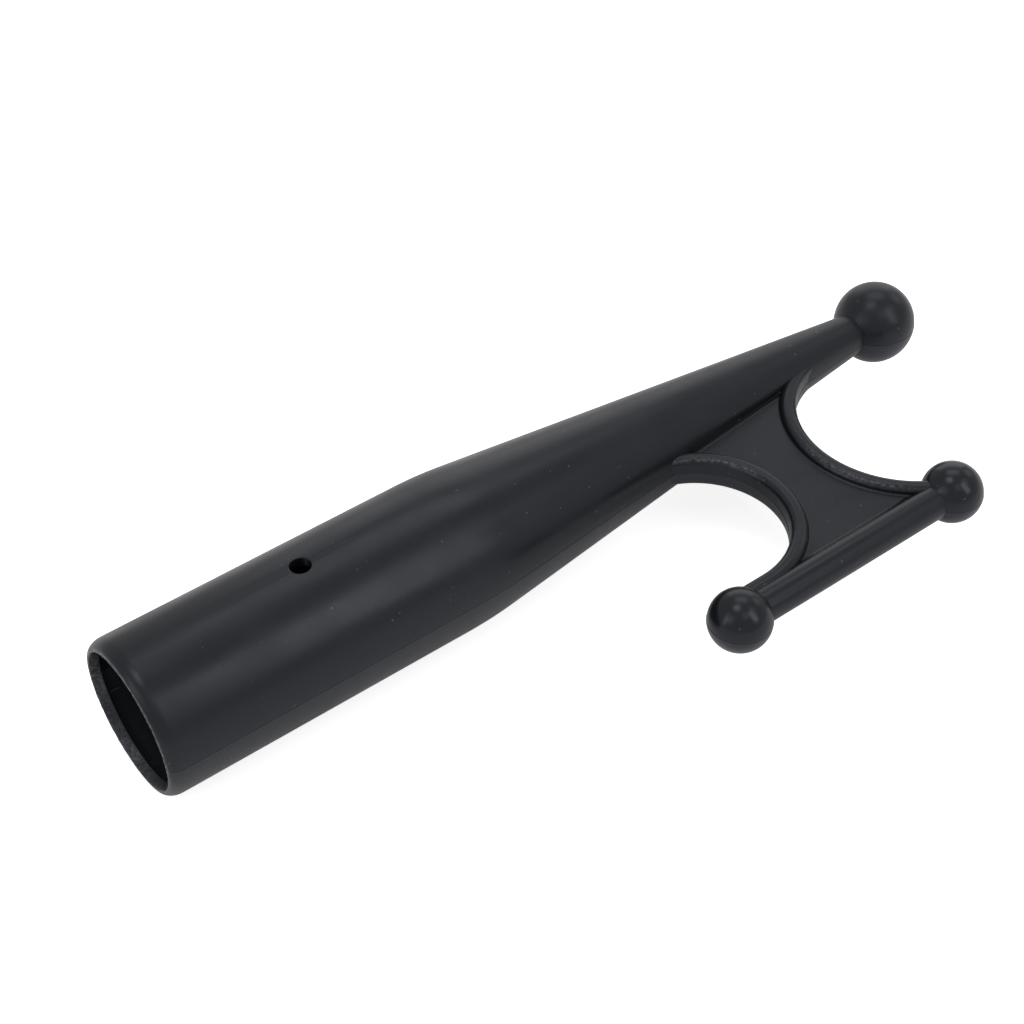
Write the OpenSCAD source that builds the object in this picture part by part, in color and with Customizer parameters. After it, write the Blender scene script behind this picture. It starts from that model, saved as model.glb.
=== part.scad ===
// Boat-hook head: a one-piece moulded nylon end for a round pole.
// Frame: origin at the centre of the socket mouth, +X along the pole axis to the tip ball,
// +Z square to the flat web, the crossbar on the -Y side. Millimetres.
// The moulding is divided into its natural regions, which meet face to face.

/* [Pole socket] */
// Outside diameter of the pole that the socket takes
pole_d = 28.6; // [22:0.1:38]
// Gap between the pole and the socket all round
pole_clearance = 0.1; // [0.05:0.05:0.5]
// Wall of the socket
socket_wall = 2.1; // [1.6:0.1:5]
// Depth of the straight socket, from the mouth to the pole stop
socket_depth = 70; // [50:1:85]
// How far the rounded outer edge of the mouth cuts into the wall
mouth_round = 1.8; // [0.5:0.1:1.9]
// Length of the rounded outer edge of the mouth, along the pole axis
mouth_ease = 3; // [1:0.1:6]

/* [Retaining screw] */
// Diameter of the screw hole in the top of the socket
screw_hole_d = 4.2; // [3:0.1:6]
// Distance of the screw hole from the mouth
screw_hole_x = 40; // [15:1:48]

/* [Shank] */
// Distance from the mouth to the corner where the taper starts
shoulder_x = 74.4; // [60:0.1:92]
// Length over which the corner is eased
shoulder_blend = 11; // [4:1:20]
// Distance from the mouth to the centre of the tip ball
tip_x = 193.8; // [160:0.1:240]
// Diameter that the taper comes down to at the centre of the tip ball
taper_end_d = 7.66; // [6:0.02:10]
// Diameter of the tip ball
tip_ball_d = 18.4; // [15:0.1:24]

/* [Moulding core] */
// Width of the ledge that stops the pole
stop_ledge = 2; // [1:0.1:4]
// Length of the tapered hollow beyond the stop
core_length = 48; // [20:1:55]
// Diameter at the blind end of the hollow
core_end_d = 10; // [6:0.5:12]

/* [Crossbar] */
// Distance from the pole axis to the crossbar axis
bar_offset = 50.85; // [42:0.05:62]
// Diameter of the crossbar, and height of the hook rims
bar_d = 7.2; // [6:0.1:9]
// Diameter of the two crossbar balls
bar_ball_d = 13.2; // [11.5:0.1:16]

/* [Hooks and web] */
// Width of the raised rim round each hook
rim_w = 3.6; // [3:0.1:4.5]
// Radius of the rounded edges of the rims
rim_round = 1; // [0.3:0.1:1.2]
// Thickness of the web between the rims
web_t = 3.8; // [2.5:0.1:4.6]
// Narrowest part of the web, between the two rims
web_waist = 9.6; // [6:0.1:16]
// Distance from the tip ball back to the centre of the front hook
front_hook_setback = 19.7; // [16:0.1:26]
// Distance from the centre of the front hook back to the front crossbar ball
front_ball_setback = 8.5; // [6:0.1:10]
// Straight length of the rear hook's rim, up to the centre of the rear crossbar ball
rear_strip_length = 9.6; // [8:0.1:16]
// Distance from the crossbar axis to the inner edge of the rear hook
rear_edge_reach = 4.65; // [4:0.05:5]
// How far the crown of the rear hook runs into the shank
rear_crown_bite = 2.24; // [1.5:0.02:3]
// How far the crown of the front hook runs into the shank
front_crown_bite = 0.5; // [0.3:0.05:1]

/* [Hidden] */
$fn = 96;
nylon = "#26272a";
past = 1;             // how far a cutter runs past the face it cuts
blend_steps = 6;      // straight steps in the eased shoulder
round_steps = 8;      // straight steps in the rounded mouth edge

// Socket
socket_r = pole_d / 2 + pole_clearance;
sleeve_r = socket_r + socket_wall;

// Outside of the shank: a straight sleeve, an eased corner, a straight taper
taper_end_r = taper_end_d / 2;
taper = (sleeve_r - taper_end_r) / (tip_x - shoulder_x);
taper_origin_r = sleeve_r + taper * shoulder_x;
blend_start = shoulder_x - shoulder_blend / 2;
blend_end = shoulder_x + shoulder_blend / 2;
function straight_taper_r(x) = taper_origin_r - taper * x;
function outer_r(x) =
  x <= blend_start ? sleeve_r
  : x >= blend_end ? straight_taper_r(x)
  : sleeve_r - taper * (x - blend_start) ^ 2 / (2 * shoulder_blend);

// Tip ball and the plane where the taper enters it
tip_ball_r = tip_ball_d / 2;
neck_back = let (
    a = 1 + taper ^ 2,
    b = taper * taper_end_r,
    c = taper_end_r ^ 2 - tip_ball_r ^ 2
  ) (-b + sqrt(b ^ 2 - a * c)) / a;
neck_x = tip_x - neck_back;

// Crossbar
bar_r = bar_d / 2;
bar_ball_r = bar_ball_d / 2;
bar_ball_flat = sqrt(bar_ball_r ^ 2 - bar_r ^ 2);

// Front hook: its circle ends on the crossbar axis below and in the shank above
front_hook_x = tip_x - front_hook_setback;
front_hook_r = (bar_offset - straight_taper_r(front_hook_x) + front_crown_bite) / 2;
front_hook_y = front_hook_r - bar_offset;
front_ball_x = front_hook_x - front_ball_setback;
front_crown_angle = 98;
front_foot_angle = 240;

// Rear hook: its circle runs into a straight strip below and into the shank above,
// and stands one web waist and two rims behind the front hook
rear_hook_limit_x = front_hook_x - front_hook_r - 2 * rim_w - web_waist;
rear_gap = bar_offset - rear_edge_reach + rear_crown_bite - taper_origin_r;
rear_hook_r = (rear_gap + taper * rear_hook_limit_x) / (2 + taper);
rear_hook_x = rear_hook_limit_x - rear_hook_r;
rear_hook_y = rear_hook_r + rear_edge_reach - bar_offset;
rear_ball_x = rear_hook_x - rear_strip_length;
rear_crown_angle = 80;
rear_foot_angle = -90;

// Outline of the outside surface from one station to another, as [radius, x] points
function outer_stations(from, to) = [
  from,
  for (i = [0 : blend_steps])
    let (x = blend_start + shoulder_blend * i / blend_steps)
      if (x > from && x < to) x,
  to
];
function outer_points(from, to) = [for (x = outer_stations(from, to)) [outer_r(x), x]];

// Turns an outline of [radius, x] points round the pole axis
module turned_on_pole_axis(points) {
  rotate([0, 90, 0]) rotate_extrude() polygon(points);
}

// Everything inside the outside surface of the shank, used to cut what runs into it
module shank_envelope() {
  turned_on_pole_axis(concat([[0, 0]], outer_points(0, neck_x), [[0, neck_x]]));
}

// Cylinder of the crossbar's size along its axis
module bar_cylinder(from, to) {
  translate([from, -bar_offset, 0]) rotate([0, 90, 0]) cylinder(r = bar_r, h = to - from);
}

// Full sphere of a crossbar ball
module bar_sphere(x) {
  translate([x, -bar_offset, 0]) sphere(r = bar_ball_r);
}

// Ball at the origin with a flat across it at the given distance along +X
module flat_ball(r, flat_x) {
  difference() {
    sphere(r = r);
    translate([flat_x + r, 0, 0]) cube(2 * r, center = true);
  }
}

// Cross-section of a rim, with its inner edge at the given radius
module rim_section(inner_r) {
  half_h = bar_r;
  translate([inner_r, 0]) polygon(concat(
    rounded_corner(rim_w - rim_round, half_h - rim_round, 0),
    rounded_corner(rim_round, half_h - rim_round, 90),
    rounded_corner(rim_round, rim_round - half_h, 180),
    rounded_corner(rim_w - rim_round, rim_round - half_h, 270)
  ));
}
function rounded_corner(cx, cy, start) = [
  for (i = [0 : 4])
    let (a = start + 90 * i / 4)
      [cx + rim_round * cos(a), cy + rim_round * sin(a)]
];

// Rim bent round a hook's circle
module rim_arc(x, y, inner_r, start, end) {
  translate([x, y, 0]) rotate([0, 0, start]) rotate_extrude(angle = end - start)
    rim_section(inner_r);
}

// Removes what the neighbours of a rim already fill
module clear_of_neighbours(ball_x) {
  difference() {
    children();
    shank_envelope();
    bar_cylinder(rear_ball_x, front_ball_x);
    bar_sphere(ball_x);
  }
}

module socket_sleeve() {
  round_points = [
    for (i = [0 : round_steps])
      let (a = 90 * i / round_steps)
        [sleeve_r - mouth_round * (1 - sin(a)), mouth_ease * (1 - cos(a))]
  ];
  wall_points = concat(
    [[socket_r, 0]],
    round_points,
    outer_points(mouth_ease + past, socket_depth),
    [[socket_r, socket_depth]]
  );
  color(nylon) difference() {
    turned_on_pole_axis(wall_points);
    translate([screw_hole_x, 0, 0]) cylinder(d = screw_hole_d, h = sleeve_r + past);
  }
}

module tapered_shank() {
  core_start_r = socket_r - stop_ledge;
  color(nylon) turned_on_pole_axis(concat(
    [[core_start_r, socket_depth]],
    outer_points(socket_depth, neck_x),
    [[0, neck_x], [0, socket_depth + core_length], [core_end_d / 2, socket_depth + core_length]]
  ));
}

module tip_ball() {
  color(nylon) translate([tip_x, 0, 0]) rotate([0, 0, 180]) flat_ball(tip_ball_r, neck_back);
}

module web_plate() {
  color(nylon) difference() {
    translate([rear_hook_x, -bar_offset, -web_t / 2])
      cube([front_hook_x - rear_hook_x, bar_offset, web_t]);
    translate([rear_hook_x, rear_hook_y, -web_t])
      cylinder(r = rear_hook_r + rim_w, h = 2 * web_t);
    translate([front_hook_x, front_hook_y, -web_t])
      cylinder(r = front_hook_r + rim_w, h = 2 * web_t);
    shank_envelope();
    bar_cylinder(rear_ball_x, front_ball_x + bar_ball_d);
  }
}

module rear_hook_rim() {
  color(nylon) clear_of_neighbours(rear_ball_x) union() {
    rim_arc(rear_hook_x, rear_hook_y, rear_hook_r, rear_foot_angle, rear_crown_angle);
    translate([rear_ball_x, rear_edge_reach - bar_offset, 0]) rotate([0, 90, 0]) rotate([0, 0, 90])
      linear_extrude(rear_strip_length) mirror([1, 0]) rim_section(0);
  }
}

module front_hook_rim() {
  color(nylon) clear_of_neighbours(front_ball_x)
    rim_arc(front_hook_x, front_hook_y, front_hook_r, front_crown_angle, front_foot_angle);
}

module crossbar() {
  color(nylon) bar_cylinder(rear_ball_x + bar_ball_flat, front_ball_x - bar_ball_flat);
}

module rear_bar_ball() {
  color(nylon) translate([rear_ball_x, -bar_offset, 0]) flat_ball(bar_ball_r, bar_ball_flat);
}

module front_bar_ball() {
  color(nylon) translate([front_ball_x, -bar_offset, 0]) rotate([0, 0, 180])
    flat_ball(bar_ball_r, bar_ball_flat);
}

socket_sleeve();
tapered_shank();
tip_ball();
web_plate();
rear_hook_rim();
front_hook_rim();
crossbar();
rear_bar_ball();
front_bar_ball();
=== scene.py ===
"""Looks of a boat-hook head: one nylon moulding with a pole socket, a tapered shank and two hooks.

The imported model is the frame. Each region of the moulding is modelled afresh round it, in metres,
with the parting line, the trimmed flash and the small fillets that a moulded head has.
"""

import logging
import math
from contextlib import contextmanager
from dataclasses import dataclass
from enum import Enum
from typing import Callable, Iterator, Sequence

import bmesh
import bpy
from mathutils import Euler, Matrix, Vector


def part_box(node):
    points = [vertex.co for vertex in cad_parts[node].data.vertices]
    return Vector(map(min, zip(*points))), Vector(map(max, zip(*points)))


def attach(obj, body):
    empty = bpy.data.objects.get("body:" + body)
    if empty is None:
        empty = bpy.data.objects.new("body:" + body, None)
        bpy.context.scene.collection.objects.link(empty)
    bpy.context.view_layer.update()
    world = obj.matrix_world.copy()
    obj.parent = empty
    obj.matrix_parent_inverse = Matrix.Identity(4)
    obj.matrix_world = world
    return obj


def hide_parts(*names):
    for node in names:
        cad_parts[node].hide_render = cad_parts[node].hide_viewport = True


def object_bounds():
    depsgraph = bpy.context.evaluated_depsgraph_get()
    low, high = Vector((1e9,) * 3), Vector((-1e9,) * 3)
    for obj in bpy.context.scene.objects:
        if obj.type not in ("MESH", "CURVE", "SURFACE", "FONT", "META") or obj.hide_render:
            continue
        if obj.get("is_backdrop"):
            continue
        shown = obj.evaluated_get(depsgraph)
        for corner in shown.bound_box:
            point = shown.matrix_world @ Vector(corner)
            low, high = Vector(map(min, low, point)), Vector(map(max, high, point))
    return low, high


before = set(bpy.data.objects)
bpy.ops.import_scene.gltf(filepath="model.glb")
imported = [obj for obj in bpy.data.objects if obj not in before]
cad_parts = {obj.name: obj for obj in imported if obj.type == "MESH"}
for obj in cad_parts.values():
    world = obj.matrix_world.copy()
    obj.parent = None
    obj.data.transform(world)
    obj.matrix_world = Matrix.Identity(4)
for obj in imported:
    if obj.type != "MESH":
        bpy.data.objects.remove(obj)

LOG = logging.getLogger("hook_head")
MM = 0.001
BODY = "root"
ALONG_X = Vector((1.0, 0.0, 0.0))
ALONG_Z = Vector((0.0, 0.0, 1.0))
TOUCH = 0.002 * MM
# mesh attribute for trimmed wear together with painted highlight along edges
WEAR_AND_HIGHLIGHT = "wear_and_highlight"
OFF_TO_ON = (0.0, 1.0)
SMOOTH_ANGLE = math.radians(32)
FILLET_STEPS = 5
COMBINED_CURVE = 3

Piece = bpy.types.Object
Socket = bpy.types.NodeSocket
Pair = tuple[float, float]
Triple = tuple[float, float, float]


class Side(Enum):
    """The two sides of the pole axis on which the parting line runs."""

    HOOKS = -1
    BACK = 1


# -------------------- workbench


def clear_selection() -> None:
    """Deselects every object."""
    bpy.ops.object.select_all(action="DESELECT")


def take(piece: Piece) -> None:
    """Makes one object the only selected one and the active one.

    Args:
        piece: The object to take.
    """
    clear_selection()
    piece.select_set(True)
    bpy.context.view_layer.objects.active = piece


@contextmanager
def editing(piece: Piece) -> Iterator[None]:
    """Opens a piece in edit mode with nothing selected, and closes it again.

    Args:
        piece: The mesh object to edit.

    Yields:
        Nothing; the piece is open inside the with block.
    """
    take(piece)
    bpy.ops.object.mode_set(mode="EDIT")
    bpy.ops.mesh.select_mode(type="VERT")
    bpy.ops.mesh.select_all(action="DESELECT")
    try:
        yield
    finally:
        bpy.ops.object.mode_set(mode="OBJECT")


def pick_points(piece: Piece, wanted: Callable[[Vector], bool]) -> None:
    """Selects the vertices of an open piece that pass a test on their place.

    Args:
        piece: The piece that is open in edit mode.
        wanted: Says of a vertex's place whether it is wanted.
    """
    bpy.ops.mesh.select_mode(type="VERT")
    bpy.ops.mesh.select_all(action="DESELECT")
    mesh = bmesh.from_edit_mesh(piece.data)
    for vertex in mesh.verts:
        vertex.select_set(wanted(vertex.co))
    mesh.select_flush_mode()
    bmesh.update_edit_mesh(piece.data)


def pick_edges(piece: Piece, wanted: Callable[[Vector, Vector], bool]) -> None:
    """Selects the edges of an open piece that pass a test on their two ends.

    Args:
        piece: The piece that is open in edit mode.
        wanted: Says of an edge's two ends whether the edge is wanted.
    """
    bpy.ops.mesh.select_mode(type="EDGE")
    bpy.ops.mesh.select_all(action="DESELECT")
    mesh = bmesh.from_edit_mesh(piece.data)
    for edge in mesh.edges:
        edge.select_set(wanted(edge.verts[0].co, edge.verts[1].co))
    bmesh.update_edit_mesh(piece.data)


def place_in_mesh(piece: Piece) -> None:
    """Puts a piece's place, turn and scale into its mesh.

    Args:
        piece: The piece to settle.
    """
    take(piece)
    bpy.ops.object.transform_apply(location=True, rotation=True, scale=True)


def near(a: Vector, b: Vector) -> bool:
    """Whether two places are the same."""
    return (a - b).length < TOUCH


def draw_outline(name: str, points: Sequence[Vector], closed: bool) -> Piece:
    """Draws a line by extruding one vertex from point to point.

    Args:
        name: The new piece's name.
        points: The points of the line, in metres.
        closed: Whether the last point is joined to the first.

    Returns:
        A piece that holds the line.
    """
    clear_selection()
    bpy.ops.mesh.primitive_plane_add(size=MM, location=points[0])
    piece = bpy.context.object
    piece.name = name
    piece.data.name = name
    place_in_mesh(piece)
    with editing(piece):
        bpy.ops.mesh.select_all(action="SELECT")
        bpy.ops.mesh.merge(type="CENTER")
        for start, end in zip(points, points[1:]):
            bpy.ops.mesh.extrude_region_move(TRANSFORM_OT_translate={"value": end - start})
        if closed:
            pick_points(piece, lambda co: near(co, points[0]) or near(co, points[-1]))
            bpy.ops.mesh.edge_face_add()
    return piece


def close_mesh() -> None:
    """Merges doubled vertices of the open piece and turns every face outwards."""
    bpy.ops.mesh.select_all(action="SELECT")
    bpy.ops.mesh.remove_doubles(threshold=TOUCH / 2)
    bpy.ops.mesh.select_all(action="SELECT")
    bpy.ops.mesh.normals_make_consistent(inside=False)


def turn_round(piece: Piece, centre: Vector, axis: Vector, steps: int) -> None:
    """Turns an outline all the way round an axis into a closed body.

    Args:
        piece: The piece that holds the outline.
        centre: A point on the axis.
        axis: The direction of the axis.
        steps: The number of steps round.
    """
    with editing(piece):
        bpy.ops.mesh.select_all(action="SELECT")
        bpy.ops.mesh.spin(steps=steps, angle=math.tau, center=centre, axis=axis)
        close_mesh()


def fill_outline() -> None:
    """Puts one face across the closed outline of the open piece."""
    bpy.ops.mesh.select_all(action="SELECT")
    bpy.ops.mesh.edge_face_add()
    bpy.ops.mesh.select_all(action="SELECT")


def push_out(piece: Piece, reach: Vector, steps: int = 1) -> None:
    """Extrudes a closed outline in a straight line into a bar with two ends.

    Args:
        piece: The piece that holds the outline.
        reach: How far and which way the outline goes.
        steps: The number of equal steps on the way.
    """
    with editing(piece):
        fill_outline()
        for _ in range(steps):
            bpy.ops.mesh.extrude_region_move(TRANSFORM_OT_translate={"value": reach / steps})
        close_mesh()


def cut_away(piece: Piece, cutter: Piece) -> None:
    """Cuts one piece's shape out of another and throws the cutter away.

    Args:
        piece: The piece that is cut.
        cutter: The piece whose shape is taken out.
    """
    take(piece)
    cut = piece.modifiers.new("cut", "BOOLEAN")
    cut.operation = "DIFFERENCE"
    cut.solver = "EXACT"
    cut.object = cutter
    bpy.ops.object.modifier_apply(modifier=cut.name)
    bpy.data.objects.remove(cutter)


def evenly(start: float, end: float, steps: int) -> list[float]:
    """Numbers at equal steps from one to another, with both of them."""
    return [start + (end - start) * i / steps for i in range(steps + 1)]


def ellipse(centre: Pair, radii: Pair, start: float, end: float, steps: int) -> list[Pair]:
    """Points along part of an ellipse in an outline's own two directions.

    Args:
        centre: The centre.
        radii: The radius along each direction.
        start: The first angle, in degrees.
        end: The last angle, in degrees.
        steps: The number of steps between them.

    Returns:
        The points.
    """
    angles = [math.radians(a) for a in evenly(start, end, steps)]
    return [(centre[0] + radii[0] * math.cos(a), centre[1] + radii[1] * math.sin(a)) for a in angles]


def bend(start: Pair, corner: Pair, end: Pair, steps: int) -> list[Pair]:
    """Points along a smooth bend that leaves and arrives in line with its corner.

    Args:
        start: The first point.
        corner: The corner that the bend eases.
        end: The last point.
        steps: The number of steps on the way.

    Returns:
        The points.
    """
    points = []
    for t in evenly(0.0, 1.0, steps):
        weights = ((1 - t) ** 2, 2 * t * (1 - t), t**2)
        points.append(tuple(sum(w * p[k] for w, p in zip(weights, (start, corner, end))) for k in (0, 1)))
    return points


# -------------------- shared sizes


@dataclass(frozen=True)
class HeadSizes:
    """Places and sizes that the regions of the head share, in metres."""

    sleeve_r: float
    socket_depth: float
    neck_x: float
    tip_x: float
    tip_r: float
    bar_y: float
    bar_r: float
    bar_ball_r: float
    rear_ball_x: float
    front_ball_x: float
    web_half: float
    rim_half: float
    rear_rim_end_x: float
    front_rim_start_x: float
    shoulder_x: float = 74.4 * MM
    shoulder_blend: float = 11.0 * MM
    rim_w: float = 3.6 * MM
    rear_edge_reach: float = 4.65 * MM
    rear_crown_bite: float = 2.24 * MM
    front_crown_bite: float = 0.5 * MM
    seam: float = 0.25 * MM  # half the straight length where the sleeve meets the shank

    @classmethod
    def from_frame(cls) -> "HeadSizes":
        """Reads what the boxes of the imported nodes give.

        Returns:
            The sizes.
        """
        _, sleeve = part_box("socket_sleeve")
        _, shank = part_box("tapered_shank")
        _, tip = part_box("tip_ball")
        bar_low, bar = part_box("crossbar")
        rear_low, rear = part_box("rear_bar_ball")
        _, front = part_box("front_bar_ball")
        _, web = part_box("web_plate")
        front_rim_low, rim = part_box("front_hook_rim")
        _, rear_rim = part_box("rear_hook_rim")
        return cls(
            sleeve_r=sleeve.z,
            socket_depth=sleeve.x,
            neck_x=shank.x,
            tip_x=tip.x - tip.z,
            tip_r=tip.z,
            bar_y=(bar_low.y + bar.y) / 2,
            bar_r=bar.z,
            bar_ball_r=rear.z,
            rear_ball_x=rear_low.x + rear.z,
            front_ball_x=front.x - front.z,
            web_half=web.z,
            rim_half=rim.z,
            rear_rim_end_x=rear_rim.x,
            front_rim_start_x=front_rim_low.x,
        )

    @property
    def taper(self) -> float:
        """How much the shank's radius falls for each metre of its length."""
        neck_r = math.sqrt(self.tip_r**2 - (self.tip_x - self.neck_x) ** 2)
        return (self.sleeve_r - neck_r) / (self.neck_x - self.shoulder_x)

    def straight_r(self, x: float) -> float:
        """The radius at a station of the straight taper, carried on both ways."""
        return self.sleeve_r - self.taper * (x - self.shoulder_x)

    def outer_r(self, x: float) -> float:
        """The radius of the outside at a station, with its eased shoulder.

        Args:
            x: The distance from the mouth.

        Returns:
            The radius there.
        """
        start = self.shoulder_x - self.shoulder_blend / 2
        end = self.shoulder_x + self.shoulder_blend / 2
        if x <= start:
            return self.sleeve_r
        if x >= end:
            return self.straight_r(x)
        return self.sleeve_r - self.taper * (x - start) ** 2 / (2 * self.shoulder_blend)

    @property
    def seam_r(self) -> float:
        """The radius where the sleeve meets the shank, on a straight line across the seam."""
        stations = (self.socket_depth - self.seam, self.socket_depth + self.seam)
        return sum(self.outer_r(x) for x in stations) / 2

    @property
    def rear_hook_r(self) -> float:
        """The radius of the rear hook's opening.

        Returns:
            The radius with which it touches the strip below and bites into the shank above.
        """
        last_x = self.rear_rim_end_x - self.rim_w
        gap = -self.bar_y - self.rear_edge_reach + self.rear_crown_bite - self.straight_r(last_x)
        return gap / (2 + self.taper)

    @property
    def rear_hook_centre(self) -> Vector:
        """The centre of the rear hook's circle."""
        x = self.rear_rim_end_x - self.rim_w - self.rear_hook_r
        return Vector((x, self.bar_y + self.rear_edge_reach + self.rear_hook_r, 0.0))

    @property
    def front_hook_r(self) -> float:
        """The radius of the front hook's opening.

        Returns:
            The radius with which it ends on the crossbar's axis and in the shank.
        """
        first_x = self.front_rim_start_x + self.rim_w
        gap = -self.bar_y + self.front_crown_bite - self.straight_r(first_x)
        return gap / (2 - self.taper)

    @property
    def front_hook_centre(self) -> Vector:
        """The centre of the front hook's circle."""
        x = self.front_rim_start_x + self.rim_w + self.front_hook_r
        return Vector((x, self.bar_y + self.front_hook_r, 0.0))


# -------------------- finish


class Nodes:
    """Builds the nodes of one material or world in the order that they are asked for."""

    def __init__(self, owner: bpy.types.Material | bpy.types.World) -> None:
        """Empties the owner's nodes.

        Args:
            owner: The material or world to fill.
        """
        owner.use_nodes = True
        self.tree = owner.node_tree
        self.tree.nodes.clear()

    def add(self, kind: str, **settings: object) -> bpy.types.Node:
        """Adds a node and sets its settings.

        Args:
            kind: The node's type.
            settings: Its settings by name.

        Returns:
            The node.
        """
        node = self.tree.nodes.new(kind)
        for name, value in settings.items():
            setattr(node, name, value)
        return node

    def join(self, source: Socket, target: Socket) -> None:
        """Links an output to an input."""
        self.tree.links.new(source, target)

    def stretched(self, scale: Triple) -> Socket:
        """Object coordinates with their own scale along each axis.

        Args:
            scale: The scale along X, Y and Z, per metre.

        Returns:
            The scaled coordinates.
        """
        place = self.add("ShaderNodeTexCoord")
        mapping = self.add("ShaderNodeMapping")
        mapping.inputs["Scale"].default_value = scale
        self.join(place.outputs["Object"], mapping.inputs["Vector"])
        return mapping.outputs["Vector"]

    def noise(self, scale: Triple, detail: float) -> Socket:
        """A cloudy value between 0 and 1.

        Args:
            scale: The scale along X, Y and Z, per metre.
            detail: The number of finer layers.

        Returns:
            The value.
        """
        cloud = self.add("ShaderNodeTexNoise")
        cloud.inputs["Scale"].default_value = 1.0
        cloud.inputs["Detail"].default_value = detail
        self.join(self.stretched(scale), cloud.inputs["Vector"])
        return cloud.outputs["Fac"]

    def cells(self, scale: Triple) -> Socket:
        """The distance from the middle of the nearest of many scattered cells.

        Args:
            scale: The number of cells along X, Y and Z, per metre.

        Returns:
            The distance, as a share of a cell.
        """
        scattered = self.add("ShaderNodeTexVoronoi", feature="F1")
        scattered.inputs["Scale"].default_value = 1.0
        self.join(self.stretched(scale), scattered.inputs["Vector"])
        return scattered.outputs["Distance"]

    def between(self, value: Socket, start: Pair, end: Pair) -> Socket:
        """Carries a value from one range to another and stops it at the ends.

        Args:
            value: The value.
            start: The range that it has.
            end: The range that it gets.

        Returns:
            The carried value.
        """
        carry = self.add("ShaderNodeMapRange")
        for name, number in zip(("From Min", "From Max", "To Min", "To Max"), (*start, *end)):
            carry.inputs[name].default_value = number
        self.join(value, carry.inputs["Value"])
        return carry.outputs["Result"]

    def _chained(self, operation: str, values: Sequence[Socket]) -> Socket:
        """Joins values two by two with one operation.

        Args:
            operation: The operation's name.
            values: The values.

        Returns:
            The result.
        """
        result = values[0]
        for value in values[1:]:
            node = self.add("ShaderNodeMath", operation=operation)
            self.join(result, node.inputs[0])
            self.join(value, node.inputs[1])
            result = node.outputs["Value"]
        return result

    def product(self, *values: Socket) -> Socket:
        """The product of some values."""
        return self._chained("MULTIPLY", values)

    def largest(self, *values: Socket) -> Socket:
        """The largest of some values."""
        return self._chained("MAXIMUM", values)

    def relief(self, height: Socket, depth: float, below: Socket | None = None) -> Socket:
        """Turns a height from 0 to 1 into a normal.

        Args:
            height: The height.
            depth: How deep the relief is, in metres.
            below: The normal of a coarser relief that this one lies on.

        Returns:
            The normal.
        """
        bump = self.add("ShaderNodeBump")
        bump.inputs["Strength"].default_value = 1.0
        bump.inputs["Distance"].default_value = depth
        self.join(height, bump.inputs["Height"])
        if below is not None:
            self.join(below, bump.inputs["Normal"])
        return bump.outputs["Normal"]

    def blend(self, share: Socket, first: object, second: object) -> Socket:
        """Blends two colours.

        Args:
            share: How much of the second colour shows, from 0 to 1.
            first: The first colour, as three numbers or as an output.
            second: The second colour, as three numbers or as an output.

        Returns:
            The blended colour.
        """
        mix = self.add("ShaderNodeMix", data_type="RGBA")
        self.join(share, mix.inputs["Factor"])
        sockets = [socket for socket in mix.inputs if socket.type == "RGBA"]
        for socket, colour in zip(sockets, (first, second)):
            if isinstance(colour, Socket):
                self.join(colour, socket)
            else:
                socket.default_value = (*colour, 1.0)
        return [socket for socket in mix.outputs if socket.type == "RGBA"][0]


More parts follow.
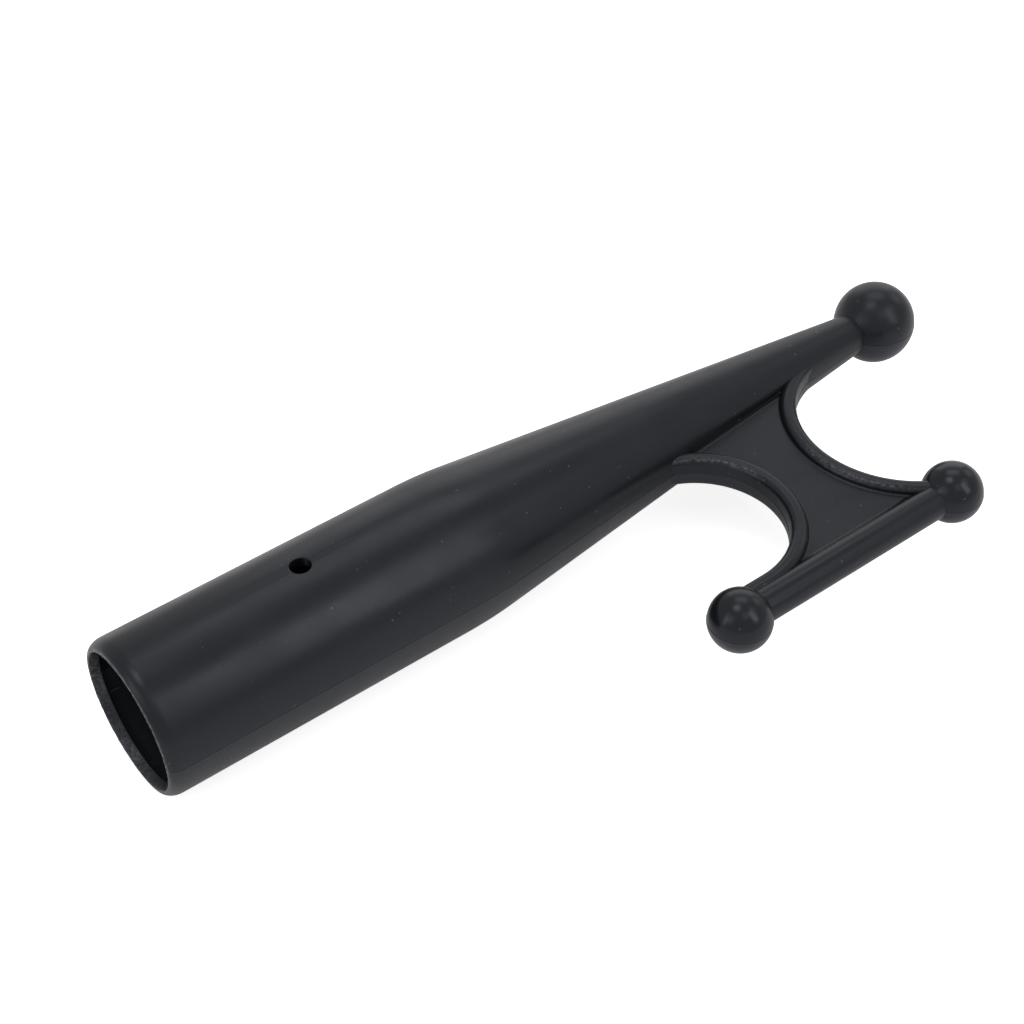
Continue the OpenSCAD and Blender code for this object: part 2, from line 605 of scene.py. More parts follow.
@dataclass(frozen=True)
class NylonFinish:
    """Black moulded nylon: satin, finely grained, with faint flow marks, specks and rub marks, a lower
    half painted paler as painted reflected light from the table, and painted highlights along trimmed
    edges.
    """

    name: str = "black moulded nylon"
    colour: Triple = (0.0075, 0.0082, 0.0100)
    # painted reflected light: the lower half is made paler for the light from the table below
    painted_lower_light_colour: Triple = (0.019, 0.020, 0.024)
    # pale specks and scuffs, and also the painted highlights along trimmed edges
    pale: Triple = (0.20, 0.205, 0.21)
    gloss_tint: Triple = (0.86, 0.885, 1.0)
    roughness: Pair = (0.24, 0.36)
    mottle_scale: Triple = (70.0, 110.0, 110.0)
    speck_scale: Triple = (190.0, 260.0, 260.0)
    speck_share: float = 0.35
    grit_scale: Triple = (430.0, 430.0, 430.0)
    grit_share: float = 0.4
    grit_patches: Triple = (130.0, 130.0, 130.0)
    scuff_scale: Triple = (42.0, 330.0, 330.0)
    scuff_share: float = 0.3
    ragged_scale: Triple = (1500.0, 1500.0, 1500.0)
    flow_scale: Triple = (35.0, 120.0, 120.0)
    flow_depth: float = 0.045 * MM
    grain_scale: Triple = (2600.0, 2600.0, 2600.0)
    grain_depth: float = 0.005 * MM

    def build(self) -> bpy.types.Material:
        """Makes the material.

        Returns:
            The material.
        """
        material = bpy.data.materials.new(self.name)
        nodes = Nodes(material)
        shader = nodes.add("ShaderNodeBsdfPrincipled")
        shader.inputs["IOR"].default_value = 1.5
        shader.inputs["Specular Tint"].default_value = (*self.gloss_tint, 1.0)
        output = nodes.add("ShaderNodeOutputMaterial")
        nodes.join(shader.outputs["BSDF"], output.inputs["Surface"])

        mottle = nodes.noise(self.mottle_scale, detail=4.0)
        nodes.join(nodes.between(mottle, (0.3, 0.7), self.roughness), shader.inputs["Roughness"])
        # painted reflected light: the half below the parting line gets the paler colour
        halves = nodes.blend(self._painted_lower_light(nodes), self.colour, self.painted_lower_light_colour)
        # specks, scuffs, and trimmed edges that carry painted highlight
        marks = nodes.largest(self._specks(nodes), self._scuffs(nodes), self._wear_and_highlight(nodes))
        nodes.join(nodes.blend(marks, halves, self.pale), shader.inputs["Base Color"])
        nodes.join(self._relief(nodes), shader.inputs["Normal"])
        return material

    def _painted_lower_light(self, nodes: Nodes) -> Socket:
        """Where the half below the parting line is painted paler, as painted reflected light from the
        table below.

        Args:
            nodes: The material's nodes.

        Returns:
            1 below the parting line and 0 above it.
        """
        place = nodes.add("ShaderNodeTexCoord")
        split = nodes.add("ShaderNodeSeparateXYZ")
        nodes.join(place.outputs["Object"], split.inputs["Vector"])
        return nodes.between(split.outputs["Z"], (-0.1 * MM, 0.0), (1.0, 0.0))

    def _specks(self, nodes: Nodes) -> Socket:
        """Where the pale specks and the patches of finer grit lie.

        Args:
            nodes: The material's nodes.

        Returns:
            How pale they are, from 0 to 1.
        """
        specks = nodes.between(nodes.cells(self.speck_scale), (0.03, 0.06), (self.speck_share, 0.0))
        grit = nodes.between(nodes.cells(self.grit_scale), (0.05, 0.11), (self.grit_share, 0.0))
        patches = nodes.between(nodes.noise(self.grit_patches, detail=1.0), (0.55, 0.62), OFF_TO_ON)
        return nodes.largest(specks, nodes.product(grit, patches))

    def _scuffs(self, nodes: Nodes) -> Socket:
        """Where the short rub marks along the shank lie, from 0 to 1."""
        return nodes.between(nodes.cells(self.scuff_scale), (0.03, 0.06), (self.scuff_share, 0.0))

    def _wear_and_highlight(self, nodes: Nodes) -> Socket:
        """Where a piece's own wear and its painted highlight lie, broken up into ragged patches.

        Args:
            nodes: The material's nodes.

        Returns:
            How pale the wear and painted highlight are, from 0 to 1.
        """
        worn_and_lit = nodes.add("ShaderNodeAttribute", attribute_name=WEAR_AND_HIGHLIGHT)
        ragged = nodes.between(nodes.noise(self.ragged_scale, detail=5.0), (0.40, 0.64), OFF_TO_ON)
        return nodes.product(worn_and_lit.outputs["Fac"], ragged)

    def _relief(self, nodes: Nodes) -> Socket:
        """The fine grain on top of the long soft flow marks, as a normal."""
        flow = nodes.relief(nodes.noise(self.flow_scale, detail=2.0), self.flow_depth)
        return nodes.relief(nodes.noise(self.grain_scale, detail=2.0), self.grain_depth, below=flow)


def wear_and_highlight_in(piece: Piece, worn_and_lit: Callable[[Vector], float]) -> None:
    """Writes how worn each point of a piece is, with its painted highlight, into the piece's own
    attribute.

    Args:
        piece: The piece.
        worn_and_lit: Gives the wear and painted highlight at a place, from 0 to 1.
    """
    layer = piece.data.attributes.new(WEAR_AND_HIGHLIGHT, "FLOAT", "POINT")
    for vertex, item in zip(piece.data.vertices, layer.data):
        item.value = worn_and_lit(vertex.co)


def finish_piece(piece: Piece, nylon: bpy.types.Material, *nodes: str) -> None:
    """Smooths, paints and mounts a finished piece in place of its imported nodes.

    Args:
        piece: The piece.
        nylon: Its material.
        nodes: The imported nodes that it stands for.
    """
    place_in_mesh(piece)
    bpy.ops.object.shade_smooth_by_angle(angle=SMOOTH_ANGLE)
    piece.data.materials.append(nylon)
    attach(piece, BODY)
    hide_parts(*nodes)
    LOG.info("%s: %d faces", piece.name, len(piece.data.polygons))


# -------------------- parting line


@dataclass(frozen=True)
class PartingLine:
    """The raised line left where the two mould halves met."""

    width: float = 0.3 * MM
    height: float = 0.07 * MM
    ball_height: float = 0.03 * MM
    step: float = 0.05 * MM  # how far a ball's upper half stands behind its lower half
    steps: int = 4

    def raise_on_round_bar(self, piece: Piece, inside_r: Callable[[float], float]) -> None:
        """Raises the line along both sides of a body that was turned about the pole axis.

        The body's width is eased by as much, so that it is no wider than it was.

        Args:
            piece: The body.
            inside_r: Gives, at a station, the radius outside which a point is on the outside surface.
        """

        def on_line(co: Vector) -> bool:
            """Whether a place is on the parting line."""
            return abs(co.z) < TOUCH and abs(co.y) > inside_r(co.x)

        with editing(piece):
            pick_edges(piece, lambda a, b: on_line(a) and on_line(b))
            bpy.ops.mesh.bevel(offset=self.width, segments=self.steps, affect="EDGES")
            for side in Side:
                pick_points(piece, lambda co: on_line(co) and co.y * side.value > 0)
                bpy.ops.transform.translate(value=(0.0, side.value * self.height, 0.0))
            widest = max(abs(vertex.co.y) for vertex in bmesh.from_edit_mesh(piece.data).verts)
            bpy.ops.mesh.select_all(action="SELECT")
            ease = (widest - self.height) / widest
            bpy.ops.transform.resize(value=(1.0, ease, 1.0), center_override=(0.0, 0.0, 0.0))

    def raise_on_ball(self, piece: Piece, centre: Vector, radius: float) -> None:
        """Raises the line round the middle of a ball and leaves the upper half a step behind the lower.

        Args:
            piece: The ball.
            centre: Its centre.
            radius: Its radius.
        """

        def on_line(co: Vector) -> bool:
            """Whether a place is on the parting line."""
            return abs(co.z - centre.z) < TOUCH

        grow = 1 + self.ball_height / radius
        shrink = 1 - self.step / radius
        with editing(piece):
            pick_edges(piece, lambda a, b: on_line(a) and on_line(b))
            bpy.ops.mesh.bevel(offset=self.width, segments=self.steps, affect="EDGES")
            pick_points(piece, on_line)
            bpy.ops.transform.resize(value=(grow, grow, 1.0), center_override=centre)
            pick_points(piece, lambda co: co.z - centre.z > TOUCH)
            bpy.ops.transform.resize(value=(shrink, shrink, shrink), center_override=centre)


# -------------------- regions


@dataclass(frozen=True)
class SocketSleeve:
    """The straight sleeve that takes the pole, with its rounded mouth and its screw hole."""

    sizes: HeadSizes
    bore_r: float = 14.4 * MM
    mouth_round: float = 1.8 * MM
    mouth_ease: float = 3.0 * MM
    lead_in: float = 2.0 * MM
    lead_in_r: float = 14.1 * MM
    lip_edge: float = 0.12 * MM
    bore_x: Pair = (2.6 * MM, 4.0 * MM)  # the first two rings of the plain bore
    hole_x: float = 40.0 * MM
    hole_r: float = 2.1 * MM
    hole_flare: float = 0.35 * MM
    hole_reach: float = 3.15 * MM  # of the cutter, out from the hole's axis
    hole_rise: float = 1.0 * MM  # of the cutter, above the sleeve
    lip_steps: int = 12
    lead_in_steps: int = 6
    hole_steps: int = 48
    flare_steps: int = 4
    nicks: float = 0.09 * MM
    lip_width: float = 0.55 * MM
    # lip and lead-in: trimmed wear together with painted highlight
    lip_wear_and_highlight: float = 0.6
    lead_in_wear_and_highlight: float = 0.5
    least_trimmed_and_lit: float = 0.25  # wear and painted highlight between the patches, as a share of the patches' own
    trim_and_highlight_patches: int = 5
    seed: int = 11
    steps: int = 180

    def outline(self) -> list[Vector]:
        """The section of the wall, from the bore round the mouth and along the outside.

        Returns:
            The points of the closed outline.
        """
        s = self.sizes
        crest_r = s.sleeve_r - self.mouth_round
        ease = self.mouth_ease
        lip = ellipse((ease, crest_r), (ease, self.mouth_round), 180, 90, self.lip_steps)
        funnel_x = evenly(self.lip_edge + self.lead_in, self.lip_edge, self.lead_in_steps)
        funnel_r = evenly(self.lead_in_r, crest_r - self.lip_edge, self.lead_in_steps)
        inner = [*((x, self.bore_r) for x in reversed(self.bore_x)), *zip(funnel_x, funnel_r)]
        shoulder = s.shoulder_x - s.shoulder_blend / 2
        walls = [(x, s.outer_r(x)) for x in (shoulder, s.socket_depth - s.seam)]
        ends = [(s.socket_depth, s.seam_r), (s.socket_depth, self.bore_r)]
        return [Vector((x, -r, 0.0)) for x, r in (*inner, *lip, *walls, *ends)]

    def hole_cutter(self) -> Piece:
        """The screw hole's shape: a straight hole whose outer edge is softened.

        Returns:
            The cutter.
        """
        top = self.sizes.sleeve_r
        flare = self.hole_flare
        edge = ellipse((self.hole_r + flare, top - flare), (flare, flare), 180, 90, self.flare_steps)
        cap = [(self.hole_reach, top), (0.0, top + self.hole_rise)]
        points = [(0.0, 0.0), (self.hole_r, 0.0), *edge, *cap]
        outline = [Vector((self.hole_x + r, 0.0, z)) for r, z in points]
        cutter = draw_outline("screw_hole", outline, closed=False)
        turn_round(cutter, Vector((self.hole_x, 0.0, 0.0)), ALONG_Z, self.hole_steps)
        return cutter

    def trimmed_and_lit(self, co: Vector) -> float:
        """How worn the sleeve is at a place, with its painted highlight: all along the lip, and in
        patches round the lead-in.

        Args:
            co: The place.

        Returns:
            The wear and painted highlight there, from 0 to 1.
        """
        out = math.hypot(co.y, co.z) - (self.sizes.sleeve_r - self.mouth_round)
        if co.x < self.lip_edge + self.nicks and out < self.lip_width:
            return self.lip_wear_and_highlight
        if co.x > self.lead_in + self.lip_edge or out > 0:
            return 0.0
        # painted highlight in patches round the lead-in
        patchy = 0.5 + 0.5 * math.cos(self.trim_and_highlight_patches * math.atan2(co.z, co.y))
        return self.lead_in_wear_and_highlight * (self.least_trimmed_and_lit + (1 - self.least_trimmed_and_lit) * patchy)

    def build(self, nylon: bpy.types.Material, parting: PartingLine) -> None:
        """Makes the sleeve.

        Args:
            nylon: Its material.
            parting: The parting line.
        """
        piece = draw_outline("socket_sleeve_shell", self.outline(), closed=True)
        turn_round(piece, Vector(), ALONG_X, self.steps)
        flank = (self.bore_r + self.sizes.sleeve_r) / 2
        parting.raise_on_round_bar(piece, lambda x: flank)
        cut_away(piece, self.hole_cutter())
        with editing(piece):
            pick_points(piece, lambda co: co.x < self.lip_edge + TOUCH)
            nicks = self.nicks
            bpy.ops.transform.vertex_random(offset=nicks, uniform=0.0, normal=0.0, seed=self.seed)
            bpy.ops.transform.translate(value=(nicks, 0.0, 0.0))
        wear_and_highlight_in(piece, self.trimmed_and_lit)
        finish_piece(piece, nylon, "socket_sleeve")


@dataclass(frozen=True)
class TaperedShank:
    """The long taper from the shoulder to the tip ball, with its blind core."""

    sizes: HeadSizes
    core_start_r: float = 12.4 * MM
    core_length: float = 48.0 * MM
    core_end_r: float = 5.0 * MM
    overlap: float = 1.0 * MM
    outside_from: float = 0.98  # share of the outside radius past which a point is outside
    blend_steps: int = 12
    steps: int = 180

    def outline(self) -> list[Vector]:
        """Half the section, from the tip end along the outside and back through the core.

        Returns:
            The points of the outline, which starts and ends on the axis.
        """
        s = self.sizes
        end_x = s.neck_x + self.overlap
        blend = evenly(s.socket_depth + s.seam, s.shoulder_x + s.shoulder_blend / 2, self.blend_steps)
        outside = [(x, s.outer_r(x)) for x in (*blend, end_x)]
        core_end = s.socket_depth + self.core_length
        points = [
            (end_x, 0.0),
            *reversed(outside),
            (s.socket_depth, s.seam_r),
            (s.socket_depth, self.core_start_r),
            (core_end, self.core_end_r),
            (core_end, 0.0),
        ]
        return [Vector((x, -r, 0.0)) for x, r in points]

    def build(self, nylon: bpy.types.Material, parting: PartingLine) -> None:
        """Makes the shank.

        Args:
            nylon: Its material.
            parting: The parting line.
        """
        piece = draw_outline("tapered_shank_shell", self.outline(), closed=False)
        turn_round(piece, Vector(), ALONG_X, self.steps)
        parting.raise_on_round_bar(piece, lambda x: self.outside_from * self.sizes.outer_r(x))
        finish_piece(piece, nylon, "tapered_shank")


@dataclass(frozen=True)
class Ball:
    """A ball end with the parting line round its middle."""

    name: str
    node: str
    centre: Vector
    radius: float
    lower_fullness: float = 0.0
    steps: int = 128
    rings: int = 64

    def build(self, nylon: bpy.types.Material, parting: PartingLine) -> None:
        """Makes the ball.

        Args:
            nylon: Its material.
            parting: The parting line.
        """
        radius = self.radius - parting.ball_height
        clear_selection()
        bpy.ops.mesh.primitive_uv_sphere_add(
            segments=self.steps, ring_count=self.rings, radius=radius, location=self.centre
        )
        piece = bpy.context.object
        piece.name = self.name
        piece.data.name = self.name
        place_in_mesh(piece)
        parting.raise_on_ball(piece, self.centre, radius)
        with editing(piece):
            pick_points(piece, lambda co: co.z < -TOUCH)
            fullness = 1 + self.lower_fullness / self.radius
            bpy.ops.transform.resize(value=(1.0, 1.0, fullness), center_override=self.centre)
        finish_piece(piece, nylon, self.node)


@dataclass(frozen=True)
class Crossbar:
    """The round bar between the two small balls, with a fillet where the web leaves it."""

    sizes: HeadSizes
    fillet: float = 0.45 * MM
    sink: float = 0.01 * MM
    steps: int = 72
    lengths: int = 24

    def outline(self) -> list[Vector]:
        """The section: a circle with a fillet above and below the web.

        Returns:
            The points of the closed outline.
        """
        s = self.sizes
        foot_z = s.web_half + self.fillet
        foot_angle = math.degrees(math.asin(foot_z / s.bar_r))
        corner = (math.sqrt(s.bar_r**2 - s.web_half**2), s.web_half - self.sink)
        round_part = ellipse((0.0, 0.0), (s.bar_r,) * 2, foot_angle, 360 - foot_angle, self.steps)
        upper = bend((corner[0] + self.fillet, corner[1]), corner, round_part[0], FILLET_STEPS)
        lower = [(y, -z) for y, z in reversed(upper)]
        section = [*upper[:-1], *round_part, *lower[1:]]
        return [Vector((s.rear_ball_x, s.bar_y + y, z)) for y, z in section]

    def build(self, nylon: bpy.types.Material) -> None:
        """Makes the bar.

        Args:
            nylon: Its material.
        """
        s = self.sizes
        piece = draw_outline("crossbar_shell", self.outline(), closed=True)
        push_out(piece, ALONG_X * (s.front_ball_x - s.rear_ball_x), steps=self.lengths)
        finish_piece(piece, nylon, "crossbar")


@dataclass(frozen=True)
class WebPlate:
    """The thin plate between the two hooks, with a fillet along the shank."""

    sizes: HeadSizes
    fillet: float = 0.45 * MM
    tuck: float = 0.6 * MM
    steps: int = 160

    def outline(self) -> list[Vector]:
        """The section across the plate at the rear hook's centre, from the crossbar to the shank.

        Returns:
            The points of the closed outline.
        """
        s = self.sizes
        x = s.rear_hook_centre.x
        shank_y = -math.sqrt(s.straight_r(x) ** 2 - s.web_half**2)
        bar_y = s.bar_y + s.bar_r - 2 * self.tuck
        corner = (shank_y, s.web_half)
        root_z = s.web_half + self.fillet
        edge = bend((shank_y - self.fillet, s.web_half), corner, (shank_y, root_z), FILLET_STEPS)
        root = (shank_y + 2 * self.tuck, root_z)
        upper = [(bar_y, s.web_half), *edge, root]
        lower = [(y, -z) for y, z in reversed(upper)]
        return [Vector((x, y, z)) for y, z in (*upper, *lower)]

    def disc(self, centre: Vector, radius: float) -> Piece:
        """A disc that clears one hook's opening out of the plate.

        Args:
            centre: The hook's centre.
            radius: The disc's radius.

        Returns:
            The disc.
        """
        clear_selection()
        bpy.ops.mesh.primitive_cylinder_add(
            vertices=self.steps, radius=radius, depth=4 * self.sizes.rim_half, location=centre
        )
        piece = bpy.context.object
        place_in_mesh(piece)
        return piece

    def build(self, nylon: bpy.types.Material) -> None:
        """Makes the plate.

        Args:
            nylon: Its material.
        """
        s = self.sizes
        rear, front = s.rear_hook_centre, s.front_hook_centre
        reach = front.x - rear.x
        piece = draw_outline("web_plate_shell", self.outline(), closed=True)
        push_out(piece, ALONG_X * reach)
        middle_y = (s.bar_y + s.bar_r - s.straight_r(rear.x)) / 2
        with editing(piece):
            pick_points(piece, lambda co: co.x > front.x - TOUCH and co.y > middle_y)
            bpy.ops.transform.translate(value=(0.0, s.taper * reach, 0.0))
        cut_away(piece, self.disc(rear, s.rear_hook_r + s.rim_w - self.tuck))
        cut_away(piece, self.disc(front, s.front_hook_r + s.rim_w - self.tuck))
        finish_piece(piece, nylon, "web_plate")


@dataclass(frozen=True)
class RimSection:
    """The section of a hook's rim, measured outwards from the opening."""

    width: float
    half: float
    web_half: float
    crown: float = 1.5 * MM
    fillet: float = 0.5 * MM
    sink: float = 0.01 * MM
    bulge: float = 0.08 * MM
    groove: tuple[Pair, ...] = ((0.12 * MM, 0.0), (0.096 * MM, 0.12 * MM), (0.0, 0.22 * MM))
    crown_steps: int = 8

    def upper_half(self) -> list[Pair]:
        """The points above the parting plane, from the opening over the top to the web.

        Returns:
            Pairs of distance from the opening and height.
        """
        c = self.crown
        inner = ellipse((c, self.half - c), (c - self.bulge, c), 180, 90, self.crown_steps)
        outer = ellipse((self.width - c, self.half - c), (c, c), 90, 0, self.crown_steps)
        corner = (self.width, self.web_half - self.sink)
        foot_top = (self.width, self.web_half + self.fillet)
        foot = bend(foot_top, corner, (self.width + self.fillet, corner[1]), FILLET_STEPS)
        return [*self.groove, *inner, *outer, *foot]

    def points(self) -> list[Pair]:
        """The closed section.

        Returns:
            Pairs of distance from the opening and height.
        """
        upper = self.upper_half()
        return [*upper, *((u, -z) for u, z in reversed(upper[1:]))]


@dataclass(frozen=True)
class TrimmedEdgeWithHighlight:
    """The ragged edge that is left on a rim where the flash was trimmed off, with a painted highlight
    along it.
    """

    centre: Vector
    radius: float
    start_angle: float
    end_angle: float
    reach: float = 0.55 * MM
    fade: float = 12.0  # degrees
    raggedness: float = 0.05 * MM
    # how pale the trimmed edge and its painted highlight get
    wear_and_highlight: float = 0.45
    seed: int = 7

    def worn_and_lit(self, co: Vector) -> float:
        """How worn the rim is at a place, with its painted highlight, fading out across the edge and
        towards its two ends.

        Args:
            co: The place.

        Returns:
            The wear and painted highlight there, from 0 to 1.
        """
        out = co - self.centre
        angle = math.degrees(math.atan2(out.y, out.x)) % 360
        across = 1 - abs(math.hypot(out.x, out.y) - self.radius) / self.reach
        along = min(angle - self.start_angle, self.end_angle - angle) / self.fade
        if co.z < 0 or across < 0 or along < 0:
            return 0.0
        return self.wear_and_highlight * across * min(along, 1.0)

    def trim_and_highlight(self, piece: Piece) -> None:
        """Roughens the edge and marks it as worn, with a painted highlight.

        Args:
            piece: The rim.
        """
        with editing(piece):
            pick_points(piece, lambda co: self.worn_and_lit(co) > 0)
            rough = self.raggedness
            bpy.ops.transform.vertex_random(offset=rough, uniform=0.0, normal=1.0, seed=self.seed)
            bpy.ops.transform.translate(value=(0.0, 0.0, -rough))
        wear_and_highlight_in(piece, self.worn_and_lit)


@dataclass(frozen=True)
class RearHookRim:
    """The rear hook's rim: a strip along the crossbar that curls up into the shank."""

    sizes: HeadSizes
    section: RimSection
    crown_angle: float = 80.0
    # angles of the trimmed edge with painted highlight
    trimmed_and_lit: Pair = (5.0, 88.0)
    steps: int = 150

    def build(self, nylon: bpy.types.Material) -> None:
        """Makes the rim.

        Args:
            nylon: Its material.
        """
        s = self.sizes
        centre = s.rear_hook_centre
        edge_y = centre.y - s.rear_hook_r
        outline = [Vector((s.rear_ball_x, edge_y - u, z)) for u, z in self.section.points()]
        piece = draw_outline("rear_hook_rim_shell", outline, closed=True)
        with editing(piece):
            fill_outline()
            strip = ALONG_X * (centre.x - s.rear_ball_x)
            bpy.ops.mesh.extrude_region_move(TRANSFORM_OT_translate={"value": strip})
            turn = math.radians(90 + self.crown_angle)
            bpy.ops.mesh.spin(steps=self.steps, angle=-turn, center=centre, axis=ALONG_Z)
            close_mesh()
        edge_r = s.rear_hook_r + self.section.crown / 2
        TrimmedEdgeWithHighlight(centre, edge_r, *self.trimmed_and_lit).trim_and_highlight(piece)
        finish_piece(piece, nylon, "rear_hook_rim")


@dataclass(frozen=True)
class FrontHookRim:
    """The front hook's rim, which curls from the shank down to the crossbar."""

    sizes: HeadSizes
    section: RimSection
    crown_angle: float = 98.0
    foot_angle: float = 240.0
    # angles of the trimmed edge with painted highlight
    trimmed_and_lit: Pair = (165.0, 232.0)
    steps: int = 170

    def build(self, nylon: bpy.types.Material) -> None:
        """Makes the rim.

        Args:
            nylon: Its material.
        """
        s = self.sizes
        centre = s.front_hook_centre
        a = math.radians(self.crown_angle)
        outward = Vector((math.cos(a), math.sin(a), 0.0))
        start = centre + outward * s.front_hook_r
        outline = [start + outward * u + ALONG_Z * z for u, z in self.section.points()]
        piece = draw_outline("front_hook_rim_shell", outline, closed=True)
        with editing(piece):
            fill_outline()
            turn = math.radians(self.foot_angle - self.crown_angle)
            bpy.ops.mesh.spin(steps=self.steps, angle=-turn, center=centre, axis=ALONG_Z)
            close_mesh()
        edge_r = s.front_hook_r + s.rim_w - self.section.crown / 2
        TrimmedEdgeWithHighlight(centre, edge_r, *self.trimmed_and_lit).trim_and_highlight(piece)
        finish_piece(piece, nylon, "front_hook_rim")


# -------------------- studio


@dataclass(frozen=True)
class SoftBox:
    """A soft light that hangs round the head and is turned towards it."""

    name: str
    azimuth: float
    elevation: float
    width: float
    height: float
    power: float
    distance: float = 1.2

    def hang(self, target: Vector) -> None:
        """Hangs the light.

        Args:
            target: The point that it is turned to.
        """
        a, e = math.radians(self.azimuth), math.radians(self.elevation)
        away = Vector((math.cos(e) * math.cos(a), math.cos(e) * math.sin(a), math.sin(e)))
        lamp = bpy.data.lights.new(self.name, "AREA")
        lamp.shape = "RECTANGLE"
        lamp.size = self.width
        lamp.size_y = self.height
        lamp.energy = self.power
        light = bpy.data.objects.new(self.name, lamp)
        light.location = target + away * self.distance
        light.rotation_euler = away.to_track_quat("Z", "Y").to_euler()
        bpy.context.scene.collection.objects.link(light)


@dataclass(frozen=True)
class Studio:
    """A white light table, soft lights and the camera."""

    centre: Vector
    floor_z: float
    lights: tuple[SoftBox, ...]
    floor_size: float = 6.0
    table_white: Triple = (0.9, 0.9, 0.9)
    table_roughness: float = 0.8
    table_glow: float = 0.05
    sky: float = 0.48
    seen_glow: float = 0.6  # added for the camera alone
    knee: float = 0.20
    white_from: float = 0.88
    camera_place: Triple = (-74.55 * MM, -227.44 * MM, 267.84 * MM)
    camera_turn: Triple = (46.426, 1.252, -37.030)
    lens: float = 66.14
    clip_start: float = 0.01

    def table(self) -> None:
        """Lays the light table that the head lies on."""
        clear_selection()
        middle = (self.centre.x, self.centre.y, self.floor_z)
        bpy.ops.mesh.primitive_plane_add(size=self.floor_size, location=middle)
        top = bpy.context.object
        top.name = "light_table"
        material = bpy.data.materials.new("white light table")
        nodes = Nodes(material)
        shader = nodes.add("ShaderNodeBsdfPrincipled")
        shader.inputs["Base Color"].default_value = (*self.table_white, 1.0)
        shader.inputs["Roughness"].default_value = self.table_roughness
        shader.inputs["Emission Color"].default_value = (1.0, 1.0, 1.0, 1.0)
        self.glow(nodes, self.table_glow, shader.inputs["Emission Strength"])
        output = nodes.add("ShaderNodeOutputMaterial")
        nodes.join(shader.outputs["BSDF"], output.inputs["Surface"])
        top.data.materials.append(material)
        top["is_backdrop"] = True

    def glow(self, nodes: Nodes, strength: float, target: Socket) -> None:
        """Sets how strongly something glows, and lets the camera see it whiter than it lights the head.

        Args:
            nodes: The nodes that the glow belongs to.
            strength: How strongly it lights the head.
            target: The input that takes the strength.
        """
        ray = nodes.add("ShaderNodeLightPath")
        seen = nodes.add("ShaderNodeMath", operation="MULTIPLY_ADD")
        nodes.join(ray.outputs["Is Camera Ray"], seen.inputs[0])
        seen.inputs[1].default_value = self.seen_glow
        seen.inputs[2].default_value = strength
        nodes.join(seen.outputs["Value"], target)

    def surroundings(self) -> None:
        """Gives the room a plain white glow."""
        world = bpy.data.worlds.new("white room")
        nodes = Nodes(world)
        background = nodes.add("ShaderNodeBackground")
        background.inputs["Color"].default_value = (1.0, 1.0, 1.0, 1.0)
        self.glow(nodes, self.sky, background.inputs["Strength"])
        output = nodes.add("ShaderNodeOutputWorld")
        nodes.join(background.outputs["Background"], output.inputs["Surface"])
        bpy.context.scene.world = world

    def camera(self) -> None:
        """Sets up the camera."""
        data = bpy.data.cameras.new("camera")
        data.lens = self.lens
        data.clip_start = self.clip_start
        camera = bpy.data.objects.new("camera", data)
        camera.location = self.camera_place
        camera.rotation_euler = Euler([math.radians(a) for a in self.camera_turn], "XYZ")
        bpy.context.scene.collection.objects.link(camera)
        bpy.context.scene.camera = camera

    def build(self) -> None:
        """Sets up the whole studio with plain colour rendering."""
        self.table()
        self.surroundings()
        self.camera()
        for light in self.lights:
            light.hang(self.centre)
        view = bpy.context.scene.view_settings
        view.view_transform = "Standard"
        view.look = "None"
        self.clear_whites(view)

    def clear_whites(self, view: bpy.types.ColorManagedViewSettings) -> None:
        """Leaves the dark tones as they are and lifts the table to a clean white.

        Args:
            view: The scene's view settings.
        """
        view.use_curve_mapping = True
        tones = view.curve_mapping
        tones.use_clip = False
        combined = tones.curves[COMBINED_CURVE]
        combined.points[0].location = (0.0, 0.0)
        combined.points[-1].location = (self.white_from, 1.0)
        knee = combined.points.new(self.knee, self.knee)
        for point in (combined.points[0], knee, combined.points[-1]):
            point.handle_type = "VECTOR"
        tones.update()


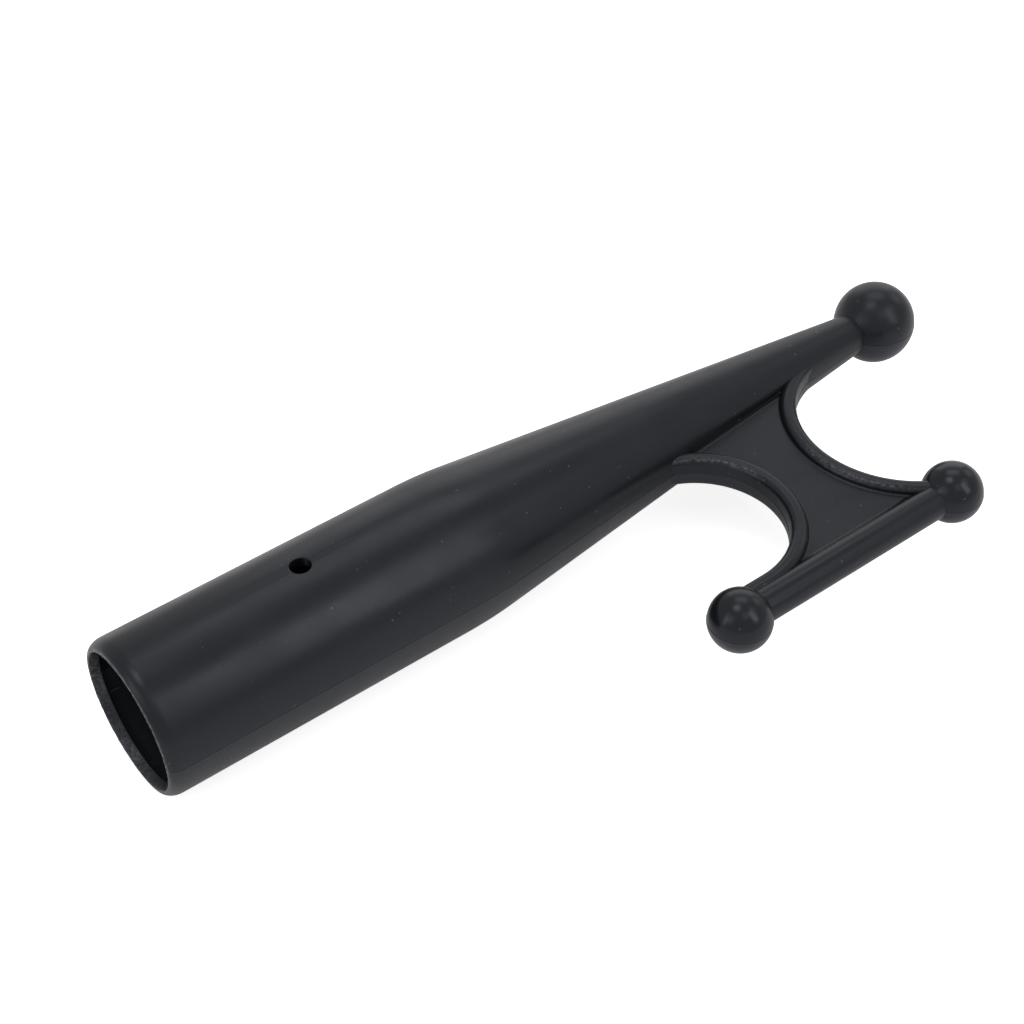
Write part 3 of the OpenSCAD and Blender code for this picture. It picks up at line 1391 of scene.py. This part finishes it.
LIGHTS = (
    SoftBox("mouth panel", azimuth=178.0, elevation=36.0, width=0.7, height=0.55, power=0.62),
    SoftBox("low mouth panel", azimuth=170.0, elevation=21.0, width=0.2, height=0.55, power=0.36),
    SoftBox("ceiling panel", azimuth=144.0, elevation=78.0, width=0.4, height=0.4, power=0.95),
    SoftBox("hook strip", azimuth=293.0, elevation=40.0, width=0.36, height=0.8, power=1.35),
    SoftBox("hook corner", azimuth=316.0, elevation=52.0, width=0.35, height=0.5, power=0.25),
    SoftBox("high front panel", azimuth=256.0, elevation=57.0, width=0.4, height=0.5, power=0.26),
    SoftBox("back panel", azimuth=48.0, elevation=20.0, width=1.1, height=0.6, power=1.15),
    SoftBox("high back panel", azimuth=45.0, elevation=60.0, width=0.7, height=0.45, power=0.9),
    SoftBox("tip panel", azimuth=0.0, elevation=30.0, width=0.4, height=0.4, power=0.28),
)


class HookHead:
    """The whole head, region by region."""

    TIP_FULLNESS = 0.3 * MM

    def __init__(self) -> None:
        """Reads the sizes and makes the finish."""
        self.sizes = HeadSizes.from_frame()
        self.nylon = NylonFinish().build()
        self.polished = NylonFinish(name="polished black nylon", roughness=(0.20, 0.26)).build()
        self.parting = PartingLine()

    def build(self) -> None:
        """Builds every region in order, from the mouth to the hooks."""
        s, nylon, polished, parting = self.sizes, self.nylon, self.polished, self.parting
        tip = Vector((s.tip_x, 0.0, 0.0))
        rear_ball = Vector((s.rear_ball_x, s.bar_y, 0.0))
        front_ball = Vector((s.front_ball_x, s.bar_y, 0.0))
        section = RimSection(width=s.rim_w, half=s.rim_half, web_half=s.web_half)
        SocketSleeve(s).build(nylon, parting)
        TaperedShank(s).build(nylon, parting)
        Ball("tip_ball_shell", "tip_ball", tip, s.tip_r, self.TIP_FULLNESS).build(nylon, parting)
        WebPlate(s).build(nylon)
        RearHookRim(s, section).build(nylon)
        FrontHookRim(s, section).build(nylon)
        Crossbar(s).build(nylon)
        Ball("rear_bar_ball_shell", "rear_bar_ball", rear_ball, s.bar_ball_r).build(polished, parting)
        Ball("front_bar_ball_shell", "front_bar_ball", front_ball, s.bar_ball_r).build(polished, parting)


def as_lists(box: Sequence[Vector]) -> list[list[float]]:
    """A box's two corners as plain lists."""
    return [[float(c) for c in corner] for corner in box]


def main() -> None:
    logging.basicConfig(level=logging.INFO, format="%(name)s: %(message)s")
    cad_box = as_lists(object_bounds())
    head = HookHead()
    head.build()
    low, high = (Vector(corner) for corner in cad_box)
    Studio(centre=(low + high) / 2, floor_z=low.z, lights=LIGHTS).build()


if __name__ == "__main__":
    main()
